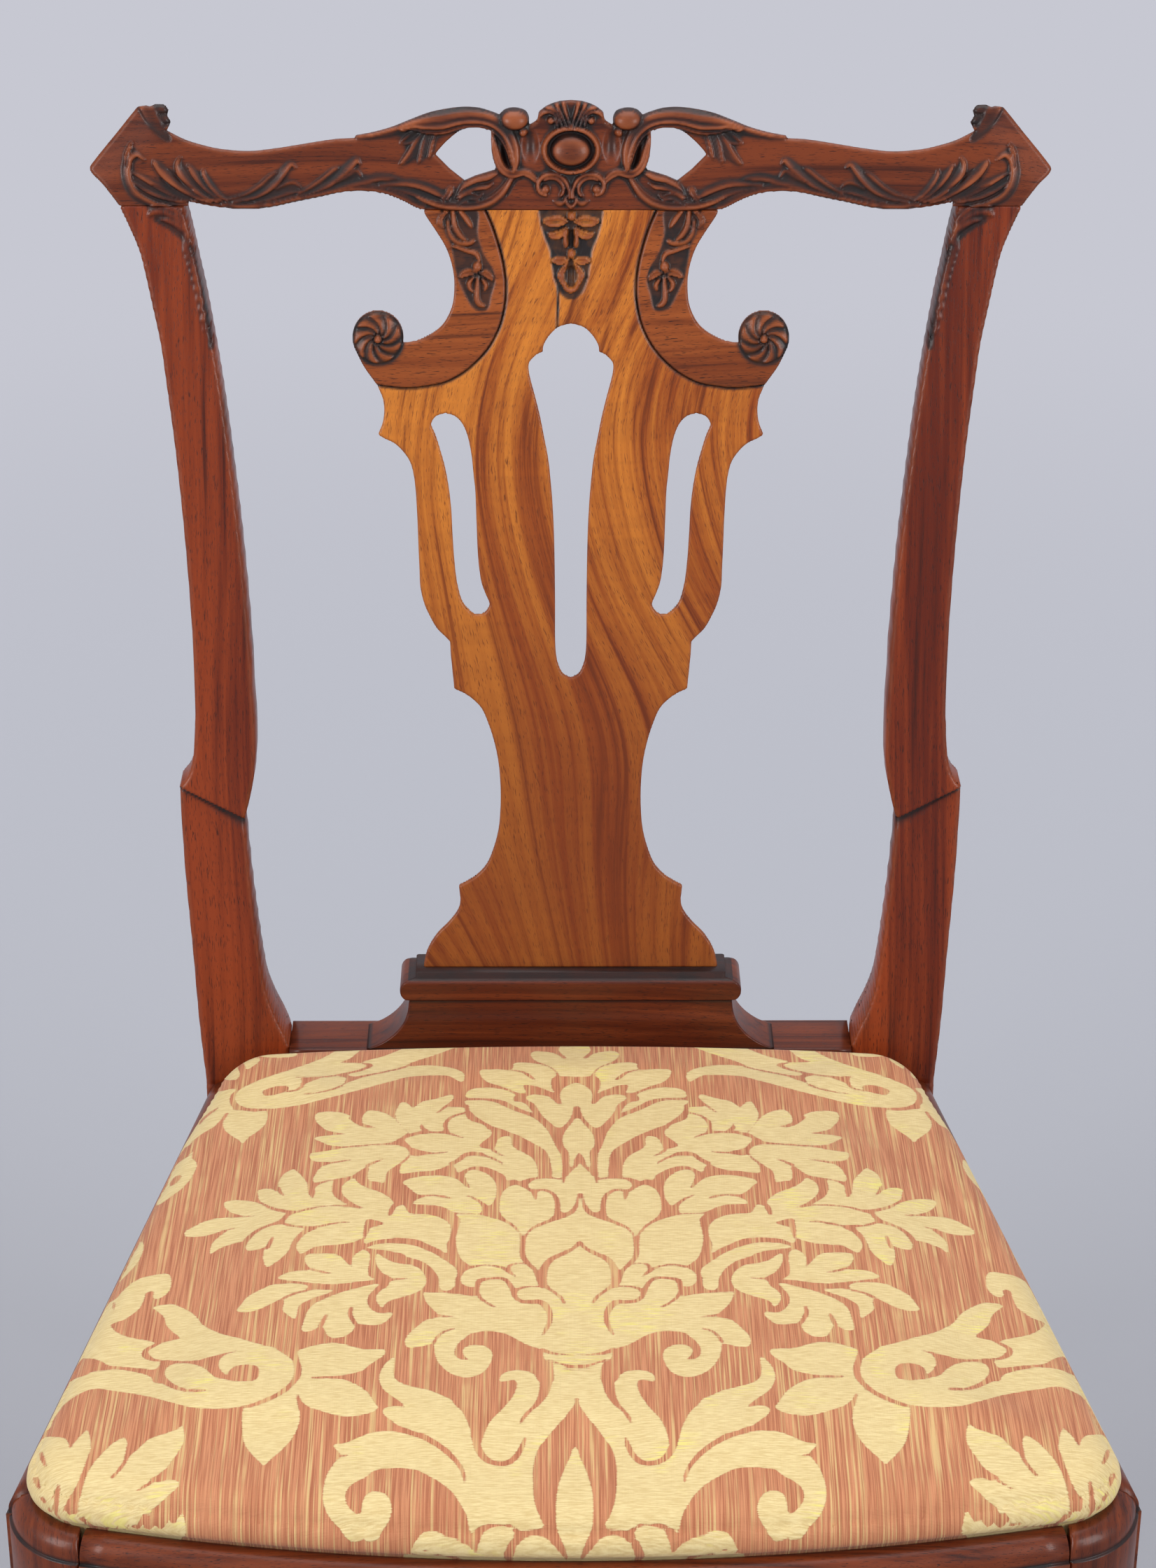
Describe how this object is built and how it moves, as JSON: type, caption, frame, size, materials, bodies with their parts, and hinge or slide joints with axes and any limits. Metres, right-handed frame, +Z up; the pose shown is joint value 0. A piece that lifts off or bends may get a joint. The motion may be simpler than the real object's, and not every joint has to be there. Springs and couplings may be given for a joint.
{
  "type": "side chair",
  "caption": "Walnut side chair with a carved crest rail, a pierced vase-shaped splat, cabriole front legs and a lift-out damask seat.",
  "frame": {"origin": "middle of the chair's box at floor level, under the loose seat", "axes": "+Z up, -Y towards the front of the seat, +X to the right seen from the front"},
  "size_m": [0.575, 0.5878, 0.9865],
  "materials": {
    "walnut": "waxed, reddish brown with dark patina in the carving",
    "walnut_figured": "waxed, golden brown with curled figure",
    "beech": "bare",
    "jute": "plain weave",
    "stuffing": "curled hair under wadding",
    "damask": "woven cream leaves on a rose ground"
  },
  "bodies": {
    "chair_frame": {"crest_rail": "walnut", "splat": "walnut_figured", "scroll_wing_left": "walnut", "scroll_wing_right": "walnut", "rear_post_left": "walnut", "rear_post_right": "walnut", "shoe": "walnut", "rear_seat_rail": "walnut", "side_seat_rail_left": "walnut", "side_seat_rail_right": "walnut", "front_seat_rail": "walnut", "front_leg_left": "walnut", "front_leg_right": "walnut", "knee_bracket_front_left": "walnut", "knee_bracket_front_right": "walnut", "knee_bracket_side_left": "walnut", "knee_bracket_side_right": "walnut", "corner_block_front_left": "beech", "corner_block_front_right": "beech", "corner_block_rear_left": "beech", "corner_block_rear_right": "beech"},
    "loose_seat": {"seat_frame_front": "beech", "seat_frame_rear": "beech", "seat_frame_side_left": "beech", "seat_frame_side_right": "beech", "webbing_lengthwise_1": "jute", "webbing_lengthwise_2": "jute", "webbing_lengthwise_3": "jute", "webbing_crosswise_1": "jute", "webbing_crosswise_2": "jute", "webbing_crosswise_3": "jute", "hessian": "jute", "seat_stuffing": "stuffing", "seat_cover": "damask"}
  },
  "joints": [
    {"name": "seat_lift", "type": "slide", "parent": "chair_frame", "child": "loose_seat", "axis": [0, 0, 1], "range_m": [0, 0.09]}
  ]
}
